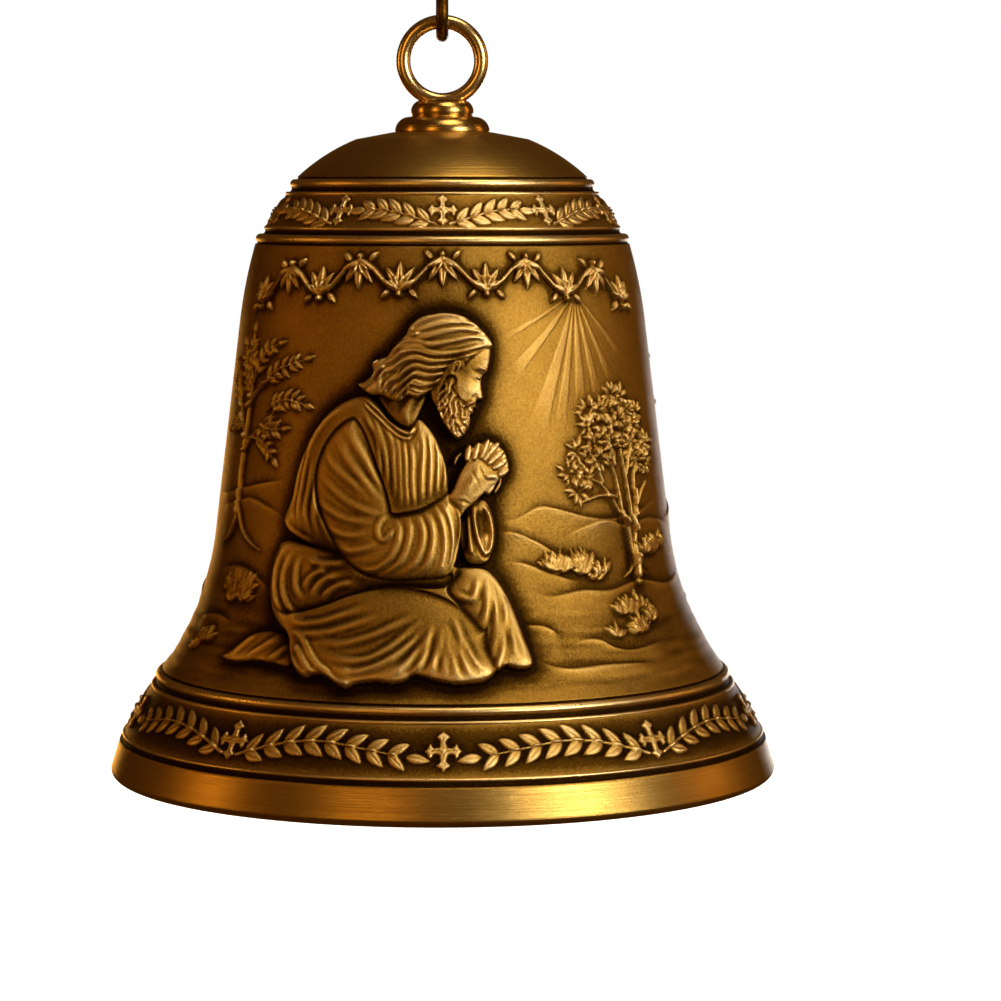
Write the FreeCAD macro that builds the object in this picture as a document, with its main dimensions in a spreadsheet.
import FreeCAD, Part
import math
import os

import Sketcher

# A small cast brass hanging bell: shell, turned crown collar, hanging ring, wire hook and a hung clapper.
# Millimetres, +Z up. The origin is the centre of the mouth, on the plane of the rim, so the rim is at Z = 0.
# The hanging ring lies in the XZ plane and the wire hook in the YZ plane. The front of the bell faces -Y.

OUT_FOLDER = "parts"
ORIGIN_POINT = (-1, 1)
HORIZONTAL_AXIS = -1
VERTICAL_AXIS = -2

doc = FreeCAD.newDocument("HangingBell")
sheet = doc.addObject("Spreadsheet::Sheet", "Sizes")


class Size:
    """A length with the formula that gives it, so that one line of Python sets both a value and an expression."""

    def __init__(self, value, text):
        self.value = float(value)
        self.text = text

    @staticmethod
    def of(other):
        return other if isinstance(other, Size) else Size(other, repr(float(other)))

    def joined(self, other, sign, value):
        return Size(value, f"({self.text} {sign} {other.text})")

    def __add__(self, other):
        other = Size.of(other)
        return self.joined(other, "+", self.value + other.value)

    def __sub__(self, other):
        other = Size.of(other)
        return self.joined(other, "-", self.value - other.value)

    def __rsub__(self, other):
        return Size.of(other) - self

    def __mul__(self, other):
        other = Size.of(other)
        return self.joined(other, "*", self.value * other.value)

    def __truediv__(self, other):
        other = Size.of(other)
        return self.joined(other, "/", self.value / other.value)

    __radd__ = __add__
    __rmul__ = __mul__


def root(size):
    return Size(math.sqrt(size.value), f"sqrt({size.text})")


def driving(name, value, note):
    """One row of the sheet: a driving dimension, with its alias and what it is."""
    row = driving.next_row
    driving.next_row += 1
    sheet.set(f"A{row}", name)
    sheet.set(f"B{row}", str(value))
    sheet.set(f"C{row}", note)
    sheet.setAlias(f"B{row}", name)
    return Size(value, f"Sizes.{name}")


driving.next_row = 1

# ---------------------------------------------------------------- driving dimensions
# Shell, outside
mouth_radius = driving("mouth_radius", 30.0, "widest radius, on the lip")
lip_height = driving("lip_height", 3.3, "plain lip, from the rim up to its top groove")
lip_lean = driving("lip_lean", 0.8, "how far the lip leans in over its height")
rim_round = driving("rim_round", 0.7, "rounding of the rim's outer corner")
frieze_slope = driving("frieze_slope", 0.6094, "inward lean of the lower frieze, per mm of height")
frieze_height = driving("frieze_height", 6.4, "lower frieze with its beads, height")
flare_height = driving("flare_height", 12.3, "flare of the waist, height")
flare_spread = driving("flare_spread", 4.85, "how much wider the flare is at its foot than at its top")
flare_arc = driving("flare_arc", 26.2, "radius of the flare's arc")
waist_height = driving("waist_height", 18.85, "straight part of the waist, height")
waist_taper = driving("waist_taper", 0.122, "inward lean of the straight waist, per mm of height")
shoulder_height = driving("shoulder_height", 6.8, "rounded shoulder, height")
shoulder_spread = driving("shoulder_spread", 1.4, "how far the shoulder leans in over its height")
shoulder_arc = driving("shoulder_arc", 43.6, "radius of the shoulder's arc")
top_frieze_height = driving("top_frieze_height", 5.95, "upper frieze with its beads, height")
top_frieze_spread = driving("top_frieze_spread", 3.8, "how far the upper frieze leans in over its height")
dome_height = driving("dome_height", 3.95, "dome, from the upper frieze to the collar's seat")
dome_arc = driving("dome_arc", 17.0, "radius of the dome's arc")
dome_brow_spread = driving("dome_brow_spread", 5.25, "how far in from its foot the dome's arc ends")
dome_brow_drop = driving("dome_brow_drop", 0.6, "how far below the collar's seat the dome's arc ends")

# Shell, mouldings
wide_bead = driving("wide_bead", 0.66, "height of a wide bead")
thin_bead = driving("thin_bead", 0.27, "height of a thin bead")
wide_groove = driving("wide_groove", 0.45, "height of the groove between a wide and a thin bead")
edge_groove = driving("edge_groove", 0.22, "height of the groove beside the waist or dome")

wide_bulge = driving("wide_bulge", 0.36, "how far a wide bead stands out, as a share of its width")
thin_bulge = driving("thin_bulge", 0.42, "the same, thin bead")
wide_depth = driving("wide_depth", 0.3, "how deep a wide groove is cut, as a share of its width")
edge_depth = driving("edge_depth", 0.4, "the same, edge groove")

# Shell, inside
waist_wall = driving("waist_wall", 1.7, "wall of the waist and shoulder")
inner_flare_arc = driving("inner_flare_arc", 38.0, "radius of the flare's arc, inside")
sound_bow = driving("sound_bow", 2.75, "wall at the top of the lip, where the clapper strikes")
rim_width = driving("rim_width", 2.9, "width of the flat rim")
crown_wall = driving("crown_wall", 1.8, "wall of the crown")

# Crown fittings
stud_radius = driving("stud_radius", 1.25, "radius of the threaded stud")
thread_gap = driving("thread_gap", 0.05, "gap all round between the stud and what is screwed on it")
crown_hole_gap = driving("crown_hole_gap", 0.15, "gap all round between the stud and the crown")
seat_margin = driving("seat_margin", 0.3, "how far the flat seats reach past the collar and the washer")
collar_radius = driving("collar_radius", 4.2, "radius of the collar's foot")
collar_low_height = driving("collar_low_height", 1.4, "height of the collar's lower tier")
collar_low_round = driving("collar_low_round", 1.15, "radius of the lower tier's round side")
collar_ledge_radius = driving("collar_ledge_radius", 3.15, "radius of the ledge between the tiers")
collar_ledge = driving("collar_ledge", 0.15, "width of that ledge")
collar_top_height = driving("collar_top_height", 1.5, "height of the collar's upper tier")
collar_top_round = driving("collar_top_round", 1.1, "radius of the upper tier's round side")
collar_top_radius = driving("collar_top_radius", 1.95, "radius of the collar's top")
stud_in_collar = driving("stud_in_collar", 1.7, "how deep the stud is screwed into the collar")
washer_radius = driving("washer_radius", 3.0, "outer radius of the washer")
washer_thick = driving("washer_thick", 0.5, "thickness of the washer")
nut_flats = driving("nut_flats", 5.0, "crown nut, across flats")
nut_height = driving("nut_height", 2.0, "height of the crown nut")
jam_gap = driving("jam_gap", 0.1, "gap between the crown nut and the clapper eye")

# Hanging ring and hook
ring_radius = driving("ring_radius", 3.47, "hanging ring, centre to the middle of its wire")
ring_wire = driving("ring_wire", 0.63, "radius of the hanging ring's wire")
ring_sink = driving("ring_sink", 0.65, "how deep the ring sits in the collar's saddle")
hook_wire = driving("hook_wire", 0.55, "radius of the hook's wire")
hook_low_bend = driving("hook_low_bend", 1.4, "inner radius of the hook's lower bend")
hook_top_bend = driving("hook_top_bend", 3.4, "inner radius of the hook's upper bend")
hook_reach = driving("hook_reach", 22.63, "from the middle of the ring's upper wire to the top of the hook")
hook_tip_rise = driving("hook_tip_rise", 0.9, "straight tip at each end of the hook")
link_gap = driving("link_gap", 0.06, "gap between wires that hang in one another")

# Clapper
eye_boss_radius = driving("eye_boss_radius", 2.2, "radius of the clapper eye's boss")
eye_boss_height = driving("eye_boss_height", 3.0, "height of the clapper eye's boss")
eye_radius = driving("eye_radius", 1.9, "clapper eye, centre to the middle of its wire")
eye_wire = driving("eye_wire", 0.5, "radius of the clapper eye's wire")
link_bend = driving("link_bend", 1.45, "link, bend to the middle of its wire")
link_wire = driving("link_wire", 0.45, "radius of the link's wire")
link_run = driving("link_run", 3.0, "straight run of the link between its bends")
loop_radius = driving("loop_radius", 1.9, "clapper loop, centre to the middle of its wire")
loop_wire = driving("loop_wire", 0.5, "radius of the clapper loop's wire")
rod_radius = driving("rod_radius", 0.8, "radius of the clapper rod")
spigot_radius = driving("spigot_radius", 0.6, "radius of the rod inside the ball")
spigot_gap = driving("spigot_gap", 0.03, "gap all round between the rod and the ball")
ball_radius = driving("ball_radius", 5.0, "radius of the clapper ball")
clapper_reach = driving("clapper_reach", 30.16, "from the clapper's pivot in the link to the ball's centre")
ball_flat = driving("ball_flat", 0.25, "depth of the flat at the top and bottom of the ball")
tip_flats = driving("tip_flats", 3.2, "tip nut, across flats")
tip_height = driving("tip_height", 1.2, "height of the tip nut's hexagon")
tip_dome = driving("tip_dome", 1.2, "height of the tip nut's dome")
tip_wall = driving("tip_wall", 0.7, "metal left under the rod's end in the tip nut")
doc.recompute()

# ---------------------------------------------------------------- sizes that follow from them
lip_top_radius = mouth_radius - lip_lean
waist_foot_z = lip_height + frieze_height
waist_foot_radius = lip_top_radius - frieze_height * frieze_slope
flare_top_z = waist_foot_z + flare_height
flare_top_radius = waist_foot_radius - flare_spread
waist_head_z = flare_top_z + waist_height
waist_head_radius = flare_top_radius - waist_height * waist_taper
shoulder_z = waist_head_z + shoulder_height
shoulder_radius = waist_head_radius - shoulder_spread
crown_foot_z = shoulder_z + top_frieze_height
crown_foot_radius = shoulder_radius - top_frieze_spread
dome_brow_radius = crown_foot_radius - dome_brow_spread
crown_z = crown_foot_z + dome_height
dome_brow_z = crown_z - dome_brow_drop
collar_top_z = crown_z + collar_low_height + collar_top_height
ring_z = collar_top_z - ring_sink + ring_wire + ring_radius
ring_top_z = ring_z + ring_radius
hook_top_z = ring_top_z + hook_reach
crown_under_z = crown_z - crown_wall
crown_hole_radius = stud_radius + crown_hole_gap
thread_radius = stud_radius + thread_gap
washer_low_z = crown_under_z - washer_thick
nut_low_z = washer_low_z - nut_height
eye_boss_top_z = nut_low_z - jam_gap
eye_boss_low_z = eye_boss_top_z - eye_boss_height
eye_z = eye_boss_low_z - eye_radius - eye_wire * 0.6
eye_pivot_z = eye_z - eye_radius
link_top_z = eye_pivot_z + eye_wire + link_gap + link_wire
link_high_z = link_top_z - link_bend
link_low_z = link_high_z - link_run
link_pivot_z = link_low_z - link_bend
loop_top_z = link_pivot_z + link_wire + link_gap + loop_wire
loop_z = loop_top_z - loop_radius
ball_z = link_pivot_z - clapper_reach
ball_top_z = ball_z + ball_radius - ball_flat
ball_low_z = ball_z - ball_radius + ball_flat
tip_low_z = ball_low_z - tip_height - tip_dome


# ---------------------------------------------------------------- sketching
def new_body(label):
    body = doc.addObject("PartDesign::Body", label)
    body.Label = label
    return body


def plane_of(body, role):
    return next(f for f in body.Origin.OriginFeatures if f.Role == role)


def new_sketch(body, name, role):
    sketch = body.newObject("Sketcher::SketchObject", name)
    sketch.AttachmentSupport = (plane_of(body, role), [""])
    sketch.MapMode = "FlatFace"
    return sketch


def bind(sketch, constraint, text):
    index = sketch.addConstraint(constraint)
    sketch.setExpression(f"Constraints[{index}]", text)


def place_point(sketch, geo, end, across, up):
    """Ties one end of a piece of geometry to its distances from the sketch's origin."""
    ways = (("DistanceX", across, VERTICAL_AXIS), ("DistanceY", up, HORIZONTAL_AXIS))
    for kind, distance, axis in ways:
        distance = Size.of(distance)
        if abs(distance.value) < 1e-9:
            sketch.addConstraint(Sketcher.Constraint("PointOnObject", geo, end, axis))
        elif distance.value > 0:
            bind(sketch, Sketcher.Constraint(kind, *ORIGIN_POINT, geo, end, distance.value), distance.text)
        else:
            flipped = distance * -1
            bind(sketch, Sketcher.Constraint(kind, geo, end, *ORIGIN_POINT, flipped.value), flipped.text)


def flat(across, up):
    return FreeCAD.Vector(Size.of(across).value, Size.of(up).value, 0)


def arc_between(start, end, radius, turn):
    """An arc from start to end. turn is +1 where it turns left on the way and -1 where it turns right."""
    middle = (start + end) * 0.5
    along = end - start
    half = along.Length / 2
    side = FreeCAD.Vector(-along.y, along.x, 0).normalize() * turn
    centre = middle + side * math.sqrt(max(radius**2 - half**2, 0.0))
    first = math.atan2(start.y - centre.y, start.x - centre.x)
    last = math.atan2(end.y - centre.y, end.x - centre.x)
    circle = Part.Circle(centre, FreeCAD.Vector(0, 0, 1), radius)
    if turn > 0:
        return Part.ArcOfCircle(circle, first, last), 1, 2
    return Part.ArcOfCircle(circle, last, first), 2, 1


def draw_path(sketch, steps, closed):
    """Draws a chain of lines and arcs. A step is (across, up, edge): the edge leads from this point to the next,
    and is None for a line or (radius, turn) for an arc."""
    count = len(steps) if closed else len(steps) - 1
    ends = []
    for i in range(count):
        across, up, edge = steps[i]
        after = steps[(i + 1) % len(steps)]
        start, end = flat(across, up), flat(after[0], after[1])
        if edge is None:
            shape, first, last = Part.LineSegment(start, end), 1, 2
        else:
            shape, first, last = arc_between(start, end, Size.of(edge[0]).value, edge[1])
        geo = sketch.addGeometry(shape, False)
        ends.append((geo, first, last))
        if edge is not None:
            radius = Size.of(edge[0])
            bind(sketch, Sketcher.Constraint("Radius", geo, radius.value), radius.text)
    for i, (geo, first, last) in enumerate(ends):
        if i + 1 < count or closed:
            after = ends[(i + 1) % count]
            sketch.addConstraint(Sketcher.Constraint("Coincident", geo, last, after[0], after[1]))
        place_point(sketch, geo, first, steps[i][0], steps[i][1])
    if not closed:
        place_point(sketch, ends[-1][0], ends[-1][2], steps[-1][0], steps[-1][1])


def draw_circle(sketch, across, up, radius):
    centre = flat(across, up)
    geo = sketch.addGeometry(Part.Circle(centre, FreeCAD.Vector(0, 0, 1), radius.value), False)
    bind(sketch, Sketcher.Constraint("Radius", geo, radius.value), radius.text)
    place_point(sketch, geo, 3, across, up)


def draw_hexagon(sketch, across_flats):
    """A hexagon about the sketch's origin, with two corners on its X axis."""
    corner = across_flats / math.sqrt(3)
    angles = [math.radians(60 * i) for i in range(6)]
    steps = [(corner * round(math.cos(a), 12), corner * round(math.sin(a), 12), None) for a in angles]
    draw_path(sketch, steps, True)


# ---------------------------------------------------------------- features
def revolve(body, name, steps, kind="PartDesign::Revolution"):
    """Turns a closed outline of (radius, height, edge) steps about Z."""
    sketch = new_sketch(body, name + "_outline", "XZ_Plane")
    draw_path(sketch, steps, True)
    turned = body.newObject(kind, name)
    turned.Profile = sketch
    turned.ReferenceAxis = (sketch, ["V_Axis"])
    turned.Angle = 360
    doc.recompute()
    return turned


def wire_ring(body, name, height, ring, wire, kind="PartDesign::Revolution"):
    """A round ring in the XZ plane: a circle turned about the line through its centre, along Y."""
    sketch = new_sketch(body, name + "_wire", "YZ_Plane")
    draw_circle(sketch, 0, height + ring, wire)
    low, high = flat(-1, height), flat(1, height)
    axis = sketch.addGeometry(Part.LineSegment(low, high), True)
    place_point(sketch, axis, 1, -1, height)
    place_point(sketch, axis, 2, 1, height)
    turned = body.newObject(kind, name)
    turned.Profile = sketch
    turned.ReferenceAxis = (sketch, ["Axis0"])
    turned.Angle = 360
    doc.recompute()
    return turned


def pad(body, name, low, height, draw, kind="PartDesign::Pad"):
    """A pad, or a pocket, up from the height low. draw(sketch) draws what is padded."""
    sketch = new_sketch(body, name + "_outline", "XY_Plane")
    draw(sketch)
    sketch.setExpression("AttachmentOffset.Base.z", low.text)
    feature = body.newObject(kind, name)
    feature.Profile = sketch
    feature.setExpression("Length", height.text)
    if kind == "PartDesign::Pocket":
        feature.Reversed = True
    doc.recompute()
    return feature


def pipe(body, name, steps, closed, wire):
    """A round wire along a path in the YZ plane, of (across, up, edge) steps."""
    route = new_sketch(body, name + "_route", "YZ_Plane")
    draw_path(route, steps, closed)
    doc.recompute()
    section = body.newObject("Sketcher::SketchObject", name + "_section")
    section.AttachmentSupport = (route, ["Edge1"])
    section.MapMode = "NormalToEdge"
    section.MapPathParameter = 0.0
    draw_circle(section, 0, 0, wire)
    doc.recompute()
    swept = body.newObject("PartDesign::AdditivePipe", name)
    swept.Profile = section
    swept.Spine = (route, [f"Edge{i + 1}" for i in range(len(route.Shape.Edges))])
    doc.recompute()
    return swept


def round_ends(body, name, base, radius, share=0.8):
    """Rounds the flat ends of a wire: the circular edges that bound a flat face."""
    rims = []
    for face in base.Shape.Faces:
        if isinstance(face.Surface, Part.Plane):
            rims += [i + 1 for i, edge in enumerate(base.Shape.Edges) if edge.isSame(face.Edges[0])]
    fillet = body.newObject("PartDesign::Fillet", name)
    fillet.Base = (base, [f"Edge{i}" for i in sorted(rims)])
    fillet.setExpression("Radius", (radius * share).text)
    doc.recompute()
    return fillet


# ---------------------------------------------------------------- the shell
def sagitta_radius(chord, share):
    """The radius of an arc that stands off its chord by share times the chord's length."""
    return chord * (share / 2 + Size.of(1) / (share * 8))


def bead(height, bulge):
    return (sagitta_radius(height, bulge), 1)


def groove(height, depth):
    return (sagitta_radius(height, depth), -1)


def frieze_steps(foot_z, foot_radius, slope, rows):
    """Points up a frieze on its slanted line, from rows of (height, edge's shape, bulge or depth)."""
    steps, z = [], foot_z
    stretch = root(slope * slope + 1)
    for height, shape, share in rows:
        edge = None if shape is None else shape(height * stretch, share)
        steps.append((foot_radius - (z - foot_z) * slope, z, edge))
        z = z + height
    return steps


def build_shell():
    body = new_body("bell_shell")
    low_field = frieze_height - wide_groove * 2 - thin_bead * 2 - wide_bead - edge_groove
    low_rows = [
        (wide_groove, groove, wide_depth),
        (thin_bead, bead, thin_bulge),
        (low_field, None, 0),
        (thin_bead, bead, thin_bulge),
        (wide_groove, groove, wide_depth),
        (wide_bead, bead, wide_bulge),
        (edge_groove, groove, edge_depth),
    ]
    top_field = top_frieze_height - edge_groove * 2 - wide_bead * 2 - wide_groove * 2 - thin_bead * 2
    top_rows = [
        (edge_groove, groove, edge_depth),
        (wide_bead, bead, wide_bulge),
        (wide_groove, groove, wide_depth),
        (thin_bead, bead, thin_bulge),
        (top_field, None, 0),
        (thin_bead, bead, thin_bulge),
        (wide_groove, groove, wide_depth),
        (wide_bead, bead, wide_bulge),
        (edge_groove, groove, edge_depth),
    ]
    top_slope = top_frieze_spread / top_frieze_height
    # The inside of the upper frieze is a true offset of its slanted line.
    offset_in = waist_wall / root(top_slope * top_slope + 1)
    offset_down = offset_in * top_slope
    outside = [
        (mouth_radius - rim_round, 0, (rim_round, 1)),
        (mouth_radius, rim_round, None),
        *frieze_steps(lip_height, lip_top_radius, frieze_slope, low_rows),
        (waist_foot_radius, waist_foot_z, (flare_arc, -1)),
        (flare_top_radius, flare_top_z, None),
        (waist_head_radius, waist_head_z, (shoulder_arc, 1)),
        *frieze_steps(shoulder_z, shoulder_radius, top_slope, top_rows),
        (crown_foot_radius, crown_foot_z, (dome_arc, 1)),
        (dome_brow_radius, dome_brow_z, None),
        (collar_radius + seat_margin, crown_z, None),
        (crown_hole_radius, crown_z, None),
    ]
    inside = [
        (crown_hole_radius, crown_under_z, None),
        (washer_radius + seat_margin, crown_under_z, (dome_arc, -1)),
        (crown_foot_radius - offset_in, crown_foot_z - offset_down, None),
        (shoulder_radius - offset_in, shoulder_z - offset_down, (shoulder_arc, -1)),
        (waist_head_radius - waist_wall, waist_head_z, None),
        (flare_top_radius - waist_wall, flare_top_z, (inner_flare_arc, 1)),
        (lip_top_radius - sound_bow, lip_height, None),
        (mouth_radius - rim_round - rim_width, 0, None),
    ]
    revolve(body, "shell", outside + inside)
    return body


# ---------------------------------------------------------------- crown fittings
def build_collar():
    body = new_body("crown_collar")
    top, low = collar_top_z, crown_z
    ledge_z = low + collar_low_height
    revolve(
        body,
        "turning",
        [
            (thread_radius, low, None),
            (collar_radius, low, (collar_low_round, 1)),
            (collar_ledge_radius, ledge_z, None),
            (collar_ledge_radius - collar_ledge, ledge_z, (collar_top_round, 1)),
            (collar_top_radius, top, None),
            (thread_radius, top, None),
        ],
    )
    pad(body, "cap", low + stud_in_collar, top - low - stud_in_collar, lambda s: draw_circle(s, 0, 0, thread_radius))
    wire_ring(body, "saddle", ring_z, ring_radius, ring_wire, "PartDesign::Groove")
    return body


def build_ring():
    body = new_body("hanging_ring")
    wire_ring(body, "ring", ring_z, ring_radius, ring_wire)
    return body


def build_stud():
    body = new_body("crown_stud")
    top = crown_z + stud_in_collar - thread_gap
    low = eye_boss_low_z + thread_gap + eye_wire * 0.8
    chamfer = stud_radius * 0.2
    revolve(
        body,
        "stud",
        [
            (0, low, None),
            (stud_radius - chamfer, low, None),
            (stud_radius, low + chamfer, None),
            (stud_radius, top - chamfer, None),
            (stud_radius - chamfer, top, None),
            (0, top, None),
        ],
    )
    return body


def build_washer():
    body = new_body("crown_washer")

    def outline(sketch):
        draw_circle(sketch, 0, 0, washer_radius)
        draw_circle(sketch, 0, 0, crown_hole_radius)

    pad(body, "washer", washer_low_z, washer_thick, outline)
    return body


def hexagon_chamfer(body, name, across_flats, z, rise):
    """Turns the corners of a hexagon back to its flats at the height z. rise is + where the metal is above z."""
    corner = across_flats / math.sqrt(3)
    inner = across_flats * 0.485
    revolve(
        body,
        name,
        [
            (inner, z - 0.1 * rise, None),
            (corner + 0.2, z - 0.1 * rise, None),
            (corner + 0.2, z + 0.4 * rise, None),
            (inner, z, None),
        ][:: int(rise)],
        "PartDesign::Groove",
    )


def build_nut():
    body = new_body("crown_nut")

    def outline(sketch):
        draw_hexagon(sketch, nut_flats)
        draw_circle(sketch, 0, 0, thread_radius)

    pad(body, "nut", nut_low_z, nut_height, outline)
    hexagon_chamfer(body, "low_chamfer", nut_flats, nut_low_z, 1)
    hexagon_chamfer(body, "top_chamfer", nut_flats, nut_low_z + nut_height, -1)
    return body


def build_hook():
    """An S of round wire: its lower bend holds the ring's top, and its upper bend hangs on what carries the bell."""
    body = new_body("hanging_hook")
    low_bend, top_bend = hook_low_bend + hook_wire, hook_top_bend + hook_wire
    low_z = ring_top_z - ring_wire - link_gap + hook_low_bend
    top_z = hook_top_z - hook_wire * 2 - hook_top_bend
    # The shank is the line that touches both bends on opposite sides, so it leans by this much.
    lean_sine = (low_bend + top_bend) / (top_z - low_z)
    lean_cosine = root(1 - lean_sine * lean_sine)
    steps = [
        (low_bend, low_z + hook_tip_rise, None),
        (low_bend, low_z, (low_bend, -1)),
        (0, low_z - low_bend, (low_bend, -1)),
        (0 - low_bend * lean_cosine, low_z + low_bend * lean_sine, None),
        (top_bend * lean_cosine, top_z - top_bend * lean_sine, (top_bend, 1)),
        (0, top_z + top_bend, (top_bend, 1)),
        (0 - top_bend, top_z, None),
        (0 - top_bend, top_z - hook_tip_rise, None),
    ]
    wire = pipe(body, "wire", steps, False, hook_wire)
    round_ends(body, "tips", wire, hook_wire)
    return body


# ---------------------------------------------------------------- clapper
def build_eye():
    """An eye nut: it locks the crown nut on the stud, and the clapper's link hangs in its ring."""
    body = new_body("clapper_eye")
    wire_ring(body, "eye", eye_z, eye_radius, eye_wire)
    top, low, edge = eye_boss_top_z, eye_boss_low_z, 0.3
    floor = low + eye_wire * 0.8
    revolve(
        body,
        "boss",
        [
            (0, low, None),
            (eye_boss_radius - edge * 2, low, None),
            (eye_boss_radius, low + edge * 2, None),
            (eye_boss_radius, top - edge, None),
            (eye_boss_radius - edge, top, None),
            (thread_radius, top, None),
            (thread_radius, floor, None),
            (0, floor, None),
        ],
    )
    return body


def build_link():
    body = new_body("clapper_link")
    steps = [
        (link_bend, link_low_z, None),
        (link_bend, link_high_z, (link_bend, 1)),
        (0, link_high_z + link_bend, (link_bend, 1)),
        (0 - link_bend, link_high_z, None),
        (0 - link_bend, link_low_z, (link_bend, 1)),
        (0, link_low_z - link_bend, (link_bend, 1)),
    ]
    pipe(body, "wire", steps, True, link_wire)
    return body


def build_rod():
    body = new_body("clapper_rod")
    wire_ring(body, "loop", loop_z, loop_radius, loop_wire)
    neck = loop_z - loop_radius - loop_wire * 0.2
    foot = ball_low_z - tip_height - tip_dome + tip_wall
    revolve(
        body,
        "rod",
        [
            (0, foot, None),
            (spigot_radius * 0.75, foot, None),
            (spigot_radius, foot + spigot_radius * 0.4, None),
            (spigot_radius, ball_top_z, None),
            (rod_radius + 0.3, ball_top_z, None),
            (rod_radius, ball_top_z + 1.0, None),
            (rod_radius, neck - 1.0, None),
            (loop_wire * 0.9, neck, None),
            (0, neck, None),
        ],
    )
    return body


def build_ball():
    body = new_body("clapper_ball")
    bore = spigot_radius + spigot_gap
    reach = ball_radius - ball_flat
    seat = root(ball_radius * ball_radius - reach * reach)
    revolve(
        body,
        "ball",
        [
            (bore, ball_low_z, None),
            (seat, ball_low_z, (ball_radius, 1)),
            (ball_radius, ball_z, (ball_radius, 1)),
            (seat, ball_top_z, None),
            (bore, ball_top_z, None),
        ],
    )
    return body


def build_tip():
    """A domed nut under the ball, on the end of the rod."""
    body = new_body("clapper_tip_nut")
    bore = spigot_radius + spigot_gap
    hexagon_low = ball_low_z - tip_height
    dome_radius = tip_flats * 0.46
    dome_arc_radius = (dome_radius * dome_radius + tip_dome * tip_dome) / (tip_dome * 2)
    pad(body, "hexagon", hexagon_low, tip_height, lambda s: draw_hexagon(s, tip_flats))
    revolve(
        body,
        "dome",
        [
            (0, tip_low_z, (dome_arc_radius, 1)),
            (dome_radius, hexagon_low, None),
            (0, hexagon_low, None),
        ],
    )
    hexagon_chamfer(body, "chamfer", tip_flats, hexagon_low, 1)
    floor = tip_low_z + tip_wall - spigot_gap
    pad(body, "bore", floor, ball_low_z - floor, lambda s: draw_circle(s, 0, 0, bore), "PartDesign::Pocket")
    return body


# ---------------------------------------------------------------- checks and files
def check(obj):
    bad = {"Invalid", "Error"} & set(obj.State)
    if bad:
        raise RuntimeError(f"{obj.Label}: {sorted(bad)}")


def check_shape(body):
    shape = body.Shape
    if shape.isNull() or not shape.isValid() or not shape.Solids:
        raise RuntimeError(f"{body.Label} has no valid solid")
    if any(solid.Volume <= 0 for solid in shape.Solids):
        raise RuntimeError(f"{body.Label} has a solid turned inside out")


def main():
    builders = [
        build_shell,
        build_collar,
        build_ring,
        build_stud,
        build_washer,
        build_nut,
        build_hook,
        build_eye,
        build_link,
        build_rod,
        build_ball,
        build_tip,
    ]
    bodies = [build() for build in builders]
    doc.recompute()
    for obj in doc.Objects:
        check(obj)
    for body in bodies:
        check_shape(body)
    os.makedirs(OUT_FOLDER, exist_ok=True)
    for body in bodies:
        body.Shape.exportStep(os.path.join(OUT_FOLDER, body.Label + ".step"))
        box = body.Shape.optimalBoundingBox(False, False)
        print(
            f"{body.Label}: {len(body.Shape.Solids)} solid, {body.Shape.Volume:.2f} mm3, "
            f"X {box.XMin:.2f} {box.XMax:.2f}, Y {box.YMin:.2f} {box.YMax:.2f}, Z {box.ZMin:.2f} {box.ZMax:.2f}"
        )
    for name, height in (("ring top", ring_top_z), ("eye pivot", eye_pivot_z), ("link pivot", link_pivot_z)):
        print(f"{name} at Z {height.value:.3f}")


main()
